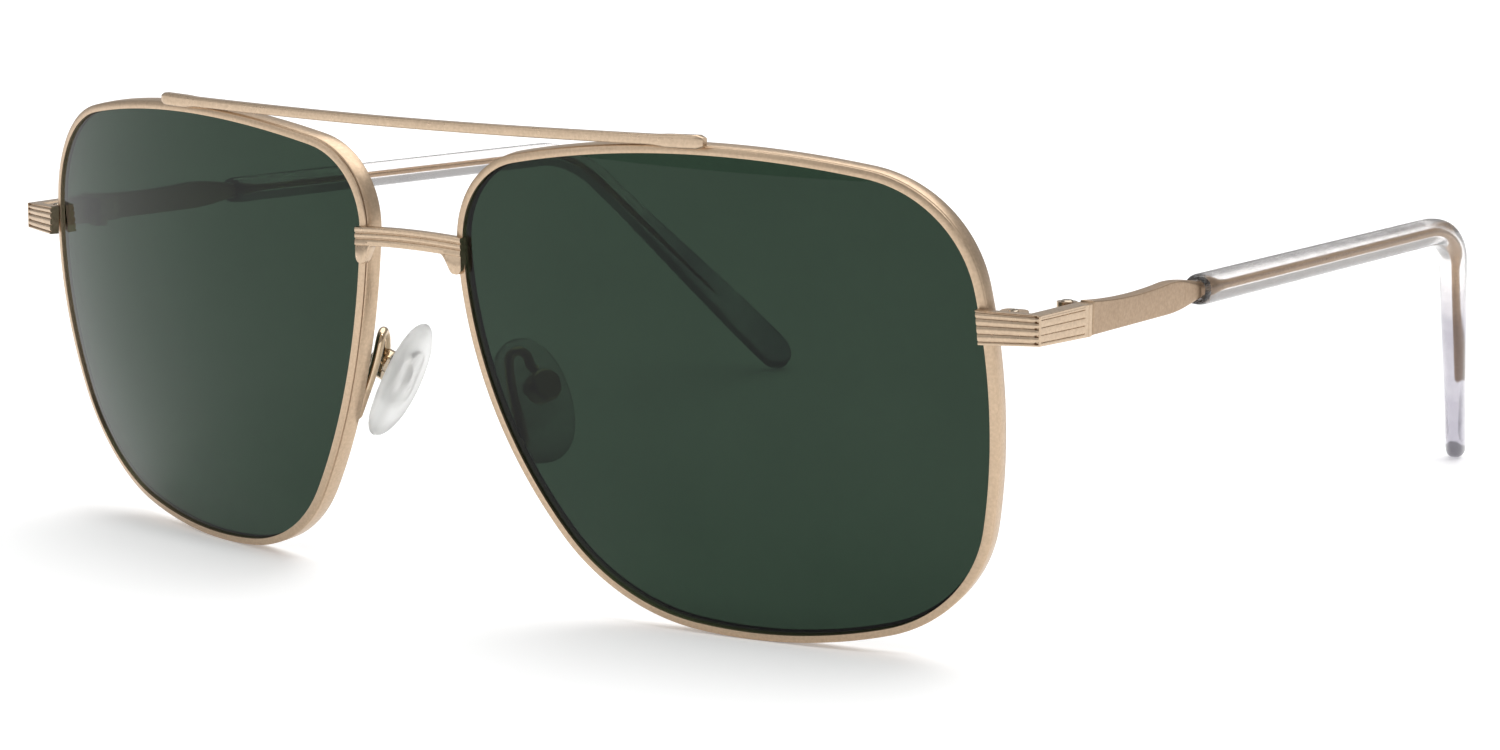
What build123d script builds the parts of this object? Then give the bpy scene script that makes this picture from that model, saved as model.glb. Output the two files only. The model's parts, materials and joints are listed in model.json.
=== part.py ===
from build123d import *
from math import cos, radians, sin
import os

# Aviator sunglasses with a double bridge, metal front and temples, clear tips and nose pads.
# Millimetres. +X is the wearer's left, +Y runs back along the temples, +Z is up.
# The frame stands on z = 0, on the bottoms of its rims and the ends of its temple tips.
# The left side is modelled and the right side is its mirror image about x = 0.

# --- Front -----------------------------------------------------------------------------
LENS_SPREAD = 35.5          # lens centre to the middle of the frame
LENS_HEIGHT = 24.4          # lens centre above the table
WRAP = 9.5                  # each lens turned back at the temple, degrees
TILT = 7.7                  # top of the front leaning forward, degrees
BASE_RADIUS = 120.0         # sphere that the front lips of both rims lie on

# Lens opening, seen along the lens axis from the front: four corners in order, the crown of
# each side above the straight line to the next corner, and the radius at each corner.
CORNERS = ((-28.5, 20.1), (24.9, 20.8), (25.1, -19.4), (-12.0, -22.2))
CROWNS = (3.7, 3.5, 3.2, 5.0)
CORNER_RADII = (8.5, 13.2, 14.5, 20.4)

RIM_WIDTH = 0.82            # across the rim wire, in the lens plane
RIM_DEPTH = 2.05            # front lip to back
WALL_LINE_CUT = 0.14        # fine line cut round the outer wall, behind the front lip
WALL_LINE_FRONT = 0.16
WALL_LINE_BACK = 0.30
GROOVE_DEPTH = 0.38         # lens groove in the inner wall
GROOVE_FRONT = 0.65         # groove, measured back from the lip
GROOVE_BACK = 1.35
RIM_SPLIT = 0.14            # saw cut through the rim at the closing block
FIT_GAP = 0.03

LENS_FRONT = 0.28           # lens front face behind the lip
LENS_THICKNESS = 1.7

# --- Brow bar and bridge ---------------------------------------------------------------
BAR_HALF_SPAN = 36.5
BAR_HEIGHT = 1.05
BAR_DEPTH = 1.2
BAR_END_FRONT = -1.75       # front face of the bar at its ends
BAR_MIDDLE_FRONT = -3.6
BAR_TOP = 50.7              # top of the bar at its ends
BAR_SAG = 0.45              # middle of the bar below its ends
BAR_FOOT_LENGTH = 4.2       # thicker end that is soldered to the rim
BAR_FOOT_DROP = 1.35
BRIDGE_HALF_SPAN = 7.17
BRIDGE_FRONT = -2.95        # front face at the ends
BRIDGE_BULGE = 0.45         # middle of the bridge in front of its ends
BRIDGE_THICKNESS = 1.05
BRIDGE_TOP = 38.8
BRIDGE_HEIGHT = 1.95
BRIDGE_RISE = 0.1           # middle of the bridge above its ends
BRIDGE_TAB_DROP = 1.85      # rounded tab below each end
BRIDGE_TAB_WIDTH = 1.6
BRIDGE_TAB_BLEND = 1.0      # hollow between the tab and the bridge
BRIDGE_GROOVES = (0.58, 1.18)
GROOVE_WIDTH = 0.2
GROOVE_CUT = 0.16

# --- End piece, rim lock and hinge -----------------------------------------------------
END_INNER = (62.75, 5.62)   # front plate, plan view, at the lens edge
END_MITRE = (68.75, 7.5)    # outer corner where the front plate meets the side plate
JOINT_X = 68.95             # outer face at the hinge joint
JOINT_Y = 16.6
END_MIDDLE = 34.0           # middle of the end piece above the table
END_INNER_HEIGHT = 3.25     # at the lens edge
END_FRONT_HEIGHT = 2.9      # at the corner
END_BACK_HEIGHT = 3.2       # at the hinge joint
END_PLATE = 1.1             # front plate thickness
SIDE_PLATE = 1.5            # side plate thickness
END_RIBS = 5
RIB_CUT = 0.3
RIB_GROOVE = 0.22
RIB_CORNER = 0.15           # ribs' grooves stop this far from the corner
SIDE_GROOVE = 0.16
SIDE_GROOVE_CUT = 0.12
SIDE_GROOVE_STOP = 1.2      # and this far from the hinge joint
SIDE_LINE_STOP = 0.6        # fine scribed line before the joint
SCRIBE_WIDTH = 0.08

LOCK_U = 30.6               # closing block, in the lens plane
LOCK_V = 9.0
LOCK_WIDTH = 2.8
LOCK_DEPTH = 1.9
LOCK_HEIGHT = 1.3           # each half
LOCK_BACK = 5.2             # block centre behind the lens plane
LOCK_ROUNDING = 0.8
LOCK_SCREW_RADIUS = 0.32
LOCK_HEAD_RADIUS = 0.5
LOCK_HEAD_HEIGHT = 0.18
HINGE_X = 66.15
HINGE_MIDDLE = 33.88
BARREL_RADIUS = 1.0
BARREL_HEIGHT = 1.06
BARREL_GAP = 0.05
BARREL_CLEARANCE = 0.08
LEAF_X = 67.25              # middle of the leaves before they are cut to the plates
LEAF_WIDTH = 1.1
LEAF_LENGTH = 3.6
LEAF_HEIGHT = 2.7
LEAF_GAP = 0.1
HINGE_SCREW_RADIUS = 0.45
HINGE_BORE_GAP = 0.04
HEAD_RADIUS = 0.62
HEAD_HEIGHT = 0.14
SLOT_WIDTH = 0.22

# --- Temple ----------------------------------------------------------------------------
TEMPLE_IN = 1.3             # temple converging towards the tip, degrees
TEMPLE_MIDDLE = 34.15
TEMPLE_THICKNESS = 1.4
BLADE_HEIGHT = 3.3
BLADE_STRAIGHT = 15.5       # joint to the start of the taper
BLADE_END_HEIGHT = 3.1
BLADE_DIP = 0.35            # hollow in the top edge
NECK_POSITION = 22.8
NECK_HEIGHT = 1.7
BLADE_BEVEL = 0.18
JOINT_GAP = 0.06            # butt joint between end piece and temple
CORE_RADIUS = 0.35
CORE_START = 21.5
CORE_DROP = 32.5            # from the corner of the bend to the end of the wire

TIP_START = 22.4            # front end of the clear tip
BEND_POSITION = 86.9        # corner of the unfilleted path, from the joint
BEND_ANGLE = 46.0
BEND_RADIUS = 16.0
TIP_ROLL = 20.4             # drop leaning inwards about the temple's axis
DROP_LENGTH = 49.4          # corner of the path to the very end
TIP_HEIGHT = 3.2
TIP_THICKNESS = 2.9
PADDLE_HEIGHT = 4.8         # tip widens to this before its rounded end
TIP_ROUNDING = 1.2
BORE_GAP = 0.05

# --- Nose pad --------------------------------------------------------------------------
PAD_CENTRE = (9.2, 6.1, 21.15)
PAD_SPLAY = 18.5            # face turned to open backwards, degrees
PAD_FLARE = 24.0            # face turned to open downwards, degrees
PAD_LENGTH = 13.3
PAD_WIDTH = 9.3
PAD_THICKNESS = 2.2
PAD_ROUNDING = 1.0
INSERT_LENGTH = 6.5         # hard plate inside the silicone
INSERT_WIDTH = 4.0
INSERT_THICKNESS = 0.8
INSERT_RISE = 0.4           # middle of the plate above the middle of the pad
TONGUE_THICKNESS = 0.8
TONGUE_WIDTH = 1.5
TONGUE_REACH = 0.6          # tongue beyond the pad screw
PIVOT_RISE = 0.75           # pad screw above the middle of the pad, along it
PIVOT_DEPTH = 2.5           # pad screw behind the middle of the pad
BOX_RADIUS = 1.7
BOX_FRONT = 1.9             # open face of the box behind the middle of the pad
BOX_BACK = 3.8
BOX_FLATS = 3.2             # across the two flats that the screw passes through
BOX_SLOT = 0.9
BOX_SLOT_LENGTH = 2.6
BOX_SLOT_REACH = 1.05       # slot beyond the pad screw
PAD_SCREW_RADIUS = 0.36
PAD_SCREW_HEAD = 0.6
PAD_BORE_GAP = 0.03
ARM_RADIUS = 0.5
ARM_ROUTE = (               # foot along the rim, up over the loop, and down to the box
    (11.55, 1.4, 17.2),
    (10.95, 1.65, 19.2),
    (9.65, 2.4, 22.9),
    (9.05, 2.75, 26.65),
    (9.7, 4.75, 26.6),
    (9.8, 4.85, 24.8),
    (10.6, 5.25, 24.8),
)
ARM_BENDS = (3.0, 3.0, 0.9, 0.9, 0.6)

BLANK_SIZE = 100.0          # blank that the curved parts of the front are cut from
BLANK_DEPTH = 9.0           # half its depth

wrap = radians(WRAP)
tilt = radians(TILT)
LENS_PLANE = Plane(
    origin=(LENS_SPREAD, 0, LENS_HEIGHT),
    x_dir=(cos(wrap), sin(wrap), 0),
    z_dir=(cos(tilt) * sin(wrap), -cos(tilt) * cos(wrap), -sin(tilt)),
)
CURVE_CENTRE = LENS_PLANE.offset(-BASE_RADIUS).origin

os.makedirs("parts", exist_ok=True)


def write_part(piece, node):
    """Label a piece and write its STEP file."""
    piece.part.label = node
    export_step(piece.part, f"parts/{node}.step")


def write_pair(piece, node):
    """Write a left-hand piece, and its mirror image as the right-hand piece."""
    with BuildPart() as twin:
        mirror(piece.part, about=Plane.YZ)
    write_part(piece, f"{node}_left")
    write_part(twin, f"{node}_right")


def side_circle(start, end, crown):
    """Centre and radius of the arc from start to end that rises by crown outside its chord."""
    chord = Vector(*end) - Vector(*start)
    inward = Vector(chord.Y, -chord.X).normalized()
    radius = (chord.length**2 / 4 + crown**2) / (2 * crown)
    return Vector(*start) + chord / 2 + inward * (radius - crown), radius


def opening(growth):
    """The lens opening on the lens plane, grown outwards all round.

    The outline is what four large discs, one for each side, have in common.
    """
    with BuildSketch(LENS_PLANE) as outline:
        Rectangle(BLANK_SIZE, BLANK_SIZE)
        for start, end, crown in zip(CORNERS, CORNERS[1:] + CORNERS[:1], CROWNS):
            centre, radius = side_circle(start, end, crown)
            with Locations(centre):
                Circle(radius + growth, mode=Mode.INTERSECT)
        for corner, radius in zip(CORNERS, CORNER_RADII):
            fillet(outline.vertices().sort_by_distance(corner)[0], radius + growth)
    return outline.sketch


def curved_blank(growth, front, back):
    """The shape of the opening between two spheres, their depths measured behind the lip."""
    with BuildPart() as blank:
        extrude(opening(growth), amount=BLANK_DEPTH, both=True)
        with Locations(CURVE_CENTRE):
            Sphere(BASE_RADIUS - front, mode=Mode.INTERSECT)
            Sphere(BASE_RADIUS - back, mode=Mode.SUBTRACT)
    return blank.part


# --- Rim: lens groove inside, a fine line round the outer wall, and the cut at the closing block ---
LOCK_PLANE = Plane(
    origin=LENS_PLANE.from_local_coords(Vector(LOCK_U, LOCK_V, -LOCK_BACK)),
    x_dir=LENS_PLANE.x_dir,
    z_dir=LENS_PLANE.y_dir,
)
with BuildPart() as wall_line:
    add(curved_blank(RIM_WIDTH + 1, WALL_LINE_FRONT, WALL_LINE_BACK))
    add(curved_blank(RIM_WIDTH - WALL_LINE_CUT, 0, WALL_LINE_BACK + 1), mode=Mode.SUBTRACT)

with BuildPart() as rim:
    add(curved_blank(RIM_WIDTH, 0, RIM_DEPTH))
    add(curved_blank(0, -1, RIM_DEPTH + 1), mode=Mode.SUBTRACT)
    add(wall_line.part, mode=Mode.SUBTRACT)
    add(curved_blank(GROOVE_DEPTH, GROOVE_FRONT, GROOVE_BACK), mode=Mode.SUBTRACT)
    with BuildSketch(LOCK_PLANE):
        Rectangle(6, 6)
    extrude(amount=RIM_SPLIT / 2, both=True, mode=Mode.SUBTRACT)
write_pair(rim, "rim")

# --- Lens: a curved plate with a thin edge that sits in the rim's groove ---
with BuildPart() as lens:
    add(curved_blank(-FIT_GAP, LENS_FRONT, LENS_FRONT + LENS_THICKNESS))
    add(curved_blank(GROOVE_DEPTH - FIT_GAP, GROOVE_FRONT + FIT_GAP, GROOVE_BACK - FIT_GAP))
write_pair(lens, "lens")

# --- Brow bar: a flat wire bowed in plan, with a thicker foot on the top of each rim ---
with BuildPart() as brow_bar:
    with BuildSketch(Plane.XY.offset(BAR_TOP - BAR_FOOT_DROP - 1)):
        with BuildLine():
            front = ThreePointArc(
                (-BAR_HALF_SPAN, BAR_END_FRONT),
                (0, BAR_MIDDLE_FRONT),
                (BAR_HALF_SPAN, BAR_END_FRONT),
            )
            back = ThreePointArc(
                (-BAR_HALF_SPAN, BAR_END_FRONT + BAR_DEPTH),
                (0, BAR_MIDDLE_FRONT + BAR_DEPTH),
                (BAR_HALF_SPAN, BAR_END_FRONT + BAR_DEPTH),
            )
            Line(front @ 0, back @ 0)
            Line(front @ 1, back @ 1)
        make_face()
    extrude(amount=BAR_FOOT_DROP + 2)
    with BuildSketch(Plane.XZ):
        with BuildLine():
            top = ThreePointArc(
                (-BAR_HALF_SPAN, BAR_TOP), (0, BAR_TOP - BAR_SAG), (BAR_HALF_SPAN, BAR_TOP)
            )
            inner = BAR_HALF_SPAN - BAR_FOOT_LENGTH
            bottom = ThreePointArc(
                (-inner, BAR_TOP - BAR_HEIGHT),
                (0, BAR_TOP - BAR_SAG - BAR_HEIGHT),
                (inner, BAR_TOP - BAR_HEIGHT),
            )
            for side in (-1, 1):
                Polyline(
                    (side * BAR_HALF_SPAN, BAR_TOP),
                    (side * BAR_HALF_SPAN, BAR_TOP - BAR_FOOT_DROP),
                    (side * (inner + 0.8), BAR_TOP - BAR_FOOT_DROP),
                    (side * inner, BAR_TOP - BAR_HEIGHT),
                )
        make_face()
    extrude(amount=BLANK_DEPTH, both=True, mode=Mode.INTERSECT)
    fillet(brow_bar.edges().filter_by(Axis.Z), 0.25)
    add(rim.part, mode=Mode.SUBTRACT)
    mirror(rim.part, about=Plane.YZ, mode=Mode.SUBTRACT)
write_part(brow_bar, "brow_bar")

# --- Bridge: three ribs, slightly arched, with a rounded tab below each end ---
def bridge_curve(height):
    """One long edge of the bridge seen from the front, at a height below its top."""
    return ThreePointArc(
        (-BRIDGE_HALF_SPAN, BRIDGE_TOP - height),
        (0, BRIDGE_TOP + BRIDGE_RISE - height),
        (BRIDGE_HALF_SPAN, BRIDGE_TOP - height),
    )


with BuildPart() as bridge:
    with BuildSketch(Plane.XY.offset(BRIDGE_TOP - BRIDGE_HEIGHT - BRIDGE_TAB_DROP - 1)):
        with BuildLine():
            front = ThreePointArc(
                (-BRIDGE_HALF_SPAN, BRIDGE_FRONT),
                (0, BRIDGE_FRONT - BRIDGE_BULGE),
                (BRIDGE_HALF_SPAN, BRIDGE_FRONT),
            )
            back = ThreePointArc(
                (-BRIDGE_HALF_SPAN, BRIDGE_FRONT + BRIDGE_THICKNESS),
                (0, BRIDGE_FRONT - BRIDGE_BULGE + BRIDGE_THICKNESS),
                (BRIDGE_HALF_SPAN, BRIDGE_FRONT + BRIDGE_THICKNESS),
            )
            Line(front @ 0, back @ 0)
            Line(front @ 1, back @ 1)
        make_face()
    extrude(amount=BRIDGE_HEIGHT + BRIDGE_TAB_DROP + 2)
    with BuildSketch(Plane.XZ) as face:
        with BuildLine():
            top = bridge_curve(0)
            bottom = bridge_curve(BRIDGE_HEIGHT)
            Line(top @ 0, bottom @ 0)
            Line(top @ 1, bottom @ 1)
        make_face()
        tab_x = BRIDGE_HALF_SPAN - BRIDGE_TAB_WIDTH / 2
        with Locations((-tab_x, BRIDGE_TOP - BRIDGE_HEIGHT), (tab_x, BRIDGE_TOP - BRIDGE_HEIGHT)):
            Rectangle(BRIDGE_TAB_WIDTH, 2 * BRIDGE_TAB_DROP)
        for side in (-1, 1):
            inner = (side * (BRIDGE_HALF_SPAN - BRIDGE_TAB_WIDTH), BRIDGE_TOP - BRIDGE_HEIGHT)
            fillet(face.vertices().sort_by_distance(inner)[0], BRIDGE_TAB_BLEND)
        fillet(face.vertices().group_by(Axis.Y)[0], BRIDGE_TAB_WIDTH * 0.42)
    extrude(amount=BLANK_DEPTH, both=True, mode=Mode.INTERSECT)
    for height in BRIDGE_GROOVES:
        with BuildSketch(Plane.XZ.offset(-BRIDGE_FRONT - GROOVE_CUT)):
            with BuildLine():
                top = bridge_curve(height)
                bottom = bridge_curve(height + GROOVE_WIDTH)
                Line(top @ 0, bottom @ 0)
                Line(top @ 1, bottom @ 1)
            make_face()
        extrude(amount=2, mode=Mode.SUBTRACT)
    add(rim.part, mode=Mode.SUBTRACT)
    mirror(rim.part, about=Plane.YZ, mode=Mode.SUBTRACT)
    add(lens.part, mode=Mode.SUBTRACT)
    mirror(lens.part, about=Plane.YZ, mode=Mode.SUBTRACT)
write_part(bridge, "bridge")

# --- End piece: ribbed front plate and side plate meeting at a sharp vertical corner ---
END_LINE = Vector(*END_MITRE) - Vector(*END_INNER)
END_FRONT_PLANE = Plane(
    origin=(*END_MITRE, END_MIDDLE),
    x_dir=END_LINE,
    z_dir=(END_LINE.Y, -END_LINE.X, 0),
)
SIDE_LINE = Vector(JOINT_X, JOINT_Y) - Vector(*END_MITRE)
END_SIDE_PLANE = Plane(
    origin=(*END_MITRE, END_MIDDLE),
    x_dir=SIDE_LINE,
    z_dir=(SIDE_LINE.Y, -SIDE_LINE.X, 0),
)
RIB_PITCH = END_FRONT_HEIGHT / END_RIBS


def plate_outline(start, end, thickness):
    """Plan view of a straight plate whose outer face runs from start to end."""
    line = Vector(*end) - Vector(*start)
    inward = Vector(-line.Y, line.X).normalized() * thickness
    Polygon(
        Vector(*start), Vector(*end), Vector(*end) + inward, Vector(*start) + inward, align=None
    )


with BuildPart() as end_piece:
    with BuildSketch(Plane.XY.offset(END_MIDDLE - END_INNER_HEIGHT / 2)):
        plate_outline(END_INNER, END_MITRE, END_PLATE)
        plate_outline(END_MITRE, (JOINT_X, JOINT_Y), SIDE_PLATE)
    extrude(amount=END_INNER_HEIGHT)
    with BuildSketch(Plane.YZ):
        Polygon(
            (END_INNER[1], END_MIDDLE - END_INNER_HEIGHT / 2),
            (END_MITRE[1], END_MIDDLE - END_FRONT_HEIGHT / 2),
            (JOINT_Y, END_MIDDLE - END_BACK_HEIGHT / 2),
            (JOINT_Y, END_MIDDLE + END_BACK_HEIGHT / 2),
            (END_MITRE[1], END_MIDDLE + END_FRONT_HEIGHT / 2),
            (END_INNER[1], END_MIDDLE + END_INNER_HEIGHT / 2),
            align=None,
        )
    extrude(amount=BLANK_SIZE, mode=Mode.INTERSECT)
    with BuildSketch(END_FRONT_PLANE):
        with Locations((-END_LINE.length / 2 - RIB_CORNER, 0)):
            with GridLocations(1, RIB_PITCH, 1, END_RIBS - 1):
                Rectangle(END_LINE.length, RIB_GROOVE)
    extrude(amount=-RIB_CUT, mode=Mode.SUBTRACT)
    side_groove = SIDE_LINE.length - RIB_CORNER - SIDE_GROOVE_STOP
    with BuildSketch(END_SIDE_PLANE):
        with Locations((RIB_CORNER + side_groove / 2, 0)):
            with GridLocations(1, RIB_PITCH, 1, END_RIBS - 1):
                Rectangle(side_groove, SIDE_GROOVE)
        with Locations((SIDE_LINE.length - SIDE_LINE_STOP, 0)):
            Rectangle(SCRIBE_WIDTH, 2 * END_BACK_HEIGHT)
    extrude(amount=-SIDE_GROOVE_CUT, mode=Mode.SUBTRACT)
    add(rim.part, mode=Mode.SUBTRACT)
    add(lens.part, mode=Mode.SUBTRACT)

# --- Closing block: two halves on the rim either side of its cut, and their screw ---
with BuildPart() as rim_screw:
    with BuildSketch(LOCK_PLANE.offset(-LOCK_HEIGHT)):
        Circle(LOCK_SCREW_RADIUS)
    extrude(amount=2 * LOCK_HEIGHT + RIM_SPLIT / 2)
    with BuildSketch(LOCK_PLANE.offset(RIM_SPLIT / 2 + LOCK_HEIGHT)):
        Circle(LOCK_HEAD_RADIUS)
    extrude(amount=LOCK_HEAD_HEIGHT)
    chamfer(rim_screw.faces().sort_by(Axis(LOCK_PLANE.origin, LOCK_PLANE.z_dir))[-1].edges(), 0.08)
    with BuildSketch(LOCK_PLANE.offset(RIM_SPLIT / 2 + LOCK_HEIGHT + LOCK_HEAD_HEIGHT)):
        Rectangle(SLOT_WIDTH, 2 * LOCK_HEAD_RADIUS)
    extrude(amount=-LOCK_HEAD_HEIGHT / 2, mode=Mode.SUBTRACT)
write_pair(rim_screw, "rim_screw")

for name, direction in (("rim_lock_upper", 1), ("rim_lock_lower", -1)):
    with BuildPart() as rim_lock:
        with BuildSketch(LOCK_PLANE.offset(direction * RIM_SPLIT / 2)):
            RectangleRounded(LOCK_WIDTH, LOCK_DEPTH, LOCK_ROUNDING)
        extrude(amount=direction * LOCK_HEIGHT)
        add(rim_screw.part, mode=Mode.SUBTRACT)
        add(rim.part, mode=Mode.SUBTRACT)
        add(end_piece.part, mode=Mode.SUBTRACT)
    write_pair(rim_lock, name)
write_pair(end_piece, "end_piece")

# --- Temple: flat blade, narrowing into the neck of the round core wire in the tip ---
TEMPLE_TURN = radians(TEMPLE_IN)
BACKWARD = Vector(-sin(TEMPLE_TURN), cos(TEMPLE_TURN), 0)
OUTWARD = Vector(cos(TEMPLE_TURN), sin(TEMPLE_TURN), 0)
TEMPLE_PLANE = Plane(
    origin=(JOINT_X - TEMPLE_THICKNESS / 2, JOINT_Y, TEMPLE_MIDDLE),
    x_dir=BACKWARD,
    z_dir=OUTWARD,
)
TIP_PLANE = Plane(
    origin=TEMPLE_PLANE.origin,
    x_dir=BACKWARD,
    z_dir=OUTWARD * cos(radians(TIP_ROLL)) - Vector(0, 0, sin(radians(TIP_ROLL))),
)
BEND_CORNER = Vector(BEND_POSITION, 0)
DROP = Vector(cos(radians(BEND_ANGLE)), -sin(radians(BEND_ANGLE)))
DROP_NORMAL = Vector(sin(radians(BEND_ANGLE)), cos(radians(BEND_ANGLE)))

with BuildPart() as temple:
    with BuildSketch(TEMPLE_PLANE):
        with BuildLine():
            top = ThreePointArc(
                (JOINT_GAP, BLADE_HEIGHT / 2),
                (BLADE_STRAIGHT / 2, BLADE_HEIGHT / 2 - BLADE_DIP),
                (BLADE_STRAIGHT, BLADE_END_HEIGHT / 2),
            )
            shoulder = TangentArc(top @ 1, (NECK_POSITION, NECK_HEIGHT / 2), tangent=top % 1)
            bottom = Line((JOINT_GAP, -BLADE_HEIGHT / 2), (BLADE_STRAIGHT, -BLADE_END_HEIGHT / 2))
            belly = TangentArc(bottom @ 1, (NECK_POSITION, -NECK_HEIGHT / 2), tangent=bottom % 1)
            Line(shoulder @ 1, belly @ 1)
            Line(top @ 0, bottom @ 0)
        make_face()
    extrude(amount=TEMPLE_THICKNESS / 2, both=True)
    chamfer(temple.faces().filter_by(TEMPLE_PLANE).edges(), BLADE_BEVEL)
    with BuildLine() as core_route:
        core_points = (Vector(CORE_START, 0), BEND_CORNER, BEND_CORNER + DROP * CORE_DROP)
        FilletPolyline(
            *[TIP_PLANE.from_local_coords(point) for point in core_points], radius=BEND_RADIUS
        )
    core_wire = core_route.wires()[0]
    with BuildSketch(Plane(origin=core_wire @ 0, z_dir=core_wire % 0)):
        Circle(CORE_RADIUS)
    sweep(path=core_wire)
write_pair(temple, "temple")

# --- Temple tip: clear sleeve over the core wire, bent down and in, widening to a paddle ---
with BuildPart() as temple_tip:
    half_height = TIP_HEIGHT / 2
    half_paddle = PADDLE_HEIGHT / 2
    reach = half_height * sin(radians(BEND_ANGLE / 2)) / cos(radians(BEND_ANGLE / 2))
    drop_end = BEND_CORNER + DROP * DROP_LENGTH
    outer_corner = (BEND_POSITION + reach, half_height)
    inner_corner = (BEND_POSITION - reach, -half_height)
    with BuildSketch(TIP_PLANE) as side_view:
        Polygon(
            (TIP_START, half_height),
            outer_corner,
            drop_end + DROP_NORMAL * half_paddle,
            drop_end - DROP_NORMAL * half_paddle,
            inner_corner,
            (TIP_START, -half_height),
            align=None,
        )
        fillet(side_view.vertices().sort_by_distance(outer_corner)[0], BEND_RADIUS + half_height)
        fillet(side_view.vertices().sort_by_distance(inner_corner)[0], BEND_RADIUS - half_height)
        fillet(side_view.vertices().sort_by_distance(drop_end)[:2], half_paddle * 0.9)
        fillet(side_view.vertices().group_by(Axis.X)[0], TIP_ROUNDING)
    extrude(amount=TIP_THICKNESS / 2, both=True)
    fillet(temple_tip.faces().filter_by(TIP_PLANE).edges(), TIP_ROUNDING)
    add(temple.part, mode=Mode.SUBTRACT)
write_pair(temple_tip, "temple_tip")

# --- Hinge: three barrels on one screw, two on the end piece and one on the temple ---
BARREL_PITCH = BARREL_HEIGHT + BARREL_GAP
HINGE_TOP = HINGE_MIDDLE + 1.5 * BARREL_HEIGHT + BARREL_GAP
HINGE_HEIGHT = 2 * (HINGE_TOP - HINGE_MIDDLE)


def barrel(level, radius, height, mode=Mode.ADD):
    """A cylinder on the hinge axis at level -1, 0 or 1."""
    with Locations((HINGE_X, JOINT_Y, HINGE_MIDDLE + level * BARREL_PITCH)):
        Cylinder(radius, height, mode=mode)


def hinge_half(levels, other_levels, leaf_start, leaf_end):
    """A flat leaf beside the hinge axis, with barrels at some of the three levels."""
    with BuildPart() as half:
        with BuildSketch(Plane.XY.offset(HINGE_MIDDLE - LEAF_HEIGHT / 2)):
            with Locations((LEAF_X, (leaf_start + leaf_end) / 2)):
                Rectangle(LEAF_WIDTH, leaf_end - leaf_start)
        extrude(amount=LEAF_HEIGHT)
        for level in other_levels:
            barrel(level, BARREL_RADIUS + BARREL_CLEARANCE, BARREL_PITCH + BARREL_GAP, Mode.SUBTRACT)
        for level in levels:
            barrel(level, BARREL_RADIUS, BARREL_HEIGHT)
        barrel(0, HINGE_SCREW_RADIUS + HINGE_BORE_GAP, 2 * HINGE_HEIGHT, Mode.SUBTRACT)
        add(end_piece.part, mode=Mode.SUBTRACT)
        add(temple.part, mode=Mode.SUBTRACT)
    return half


write_pair(hinge_half((-1, 1), (0,), JOINT_Y - LEAF_LENGTH, JOINT_Y - LEAF_GAP), "hinge_front")
write_pair(hinge_half((0,), (-1, 1), JOINT_Y + LEAF_GAP, JOINT_Y + LEAF_LENGTH), "hinge_temple")

with BuildPart() as hinge_screw:
    with BuildSketch(Plane.XY.offset(HINGE_TOP - HINGE_HEIGHT)):
        with Locations((HINGE_X, JOINT_Y)):
            Circle(HINGE_SCREW_RADIUS)
    extrude(amount=HINGE_HEIGHT)
    with BuildSketch(Plane.XY.offset(HINGE_TOP)):
        with Locations((HINGE_X, JOINT_Y)):
            Circle(HEAD_RADIUS)
    extrude(amount=HEAD_HEIGHT)
    chamfer(hinge_screw.faces().sort_by(Axis.Z)[-1].edges(), 0.1)
    with BuildSketch(Plane.XY.offset(HINGE_TOP + HEAD_HEIGHT)):
        with Locations((HINGE_X, JOINT_Y)):
            Rectangle(2 * HEAD_RADIUS, SLOT_WIDTH)
    extrude(amount=-HEAD_HEIGHT / 2, mode=Mode.SUBTRACT)
write_pair(hinge_screw, "hinge_screw")

# --- Nose pad: silicone over a hard insert, whose tongue rocks on a screw in a metal box ---
splay = radians(PAD_SPLAY)
flare = radians(PAD_FLARE)
PAD_PLANE = Plane(
    origin=PAD_CENTRE,
    x_dir=(-sin(splay), -cos(splay), 0),
    z_dir=(-cos(splay) * cos(flare), sin(splay) * cos(flare), -sin(flare)),
)
PIVOT_PLANE = Plane(
    origin=PAD_PLANE.from_local_coords(Vector(0, PIVOT_RISE, -PIVOT_DEPTH)),
    x_dir=PAD_PLANE.y_dir,
    z_dir=PAD_PLANE.x_dir,
)

with BuildPart() as pad_insert:
    with BuildSketch(PAD_PLANE):
        with Locations((0, INSERT_RISE)):
            SlotOverall(INSERT_LENGTH, INSERT_WIDTH, rotation=90)
    extrude(amount=INSERT_THICKNESS / 2, both=True)
    with BuildSketch(PAD_PLANE):
        with Locations((0, PIVOT_RISE)):
            Rectangle(TONGUE_THICKNESS, TONGUE_WIDTH)
    extrude(amount=-PIVOT_DEPTH - TONGUE_REACH)
    with BuildSketch(PIVOT_PLANE):
        Circle(PAD_SCREW_RADIUS + PAD_BORE_GAP)
    extrude(amount=BOX_RADIUS, both=True, mode=Mode.SUBTRACT)
write_pair(pad_insert, "pad_insert")

with BuildPart() as nose_pad:
    with BuildSketch(PAD_PLANE):
        Ellipse(PAD_WIDTH / 2, PAD_LENGTH / 2)
    extrude(amount=PAD_THICKNESS / 2, both=True)
    fillet(nose_pad.faces().filter_by(PAD_PLANE).edges(), PAD_ROUNDING)
    add(pad_insert.part, mode=Mode.SUBTRACT)
write_pair(nose_pad, "nose_pad")

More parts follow.
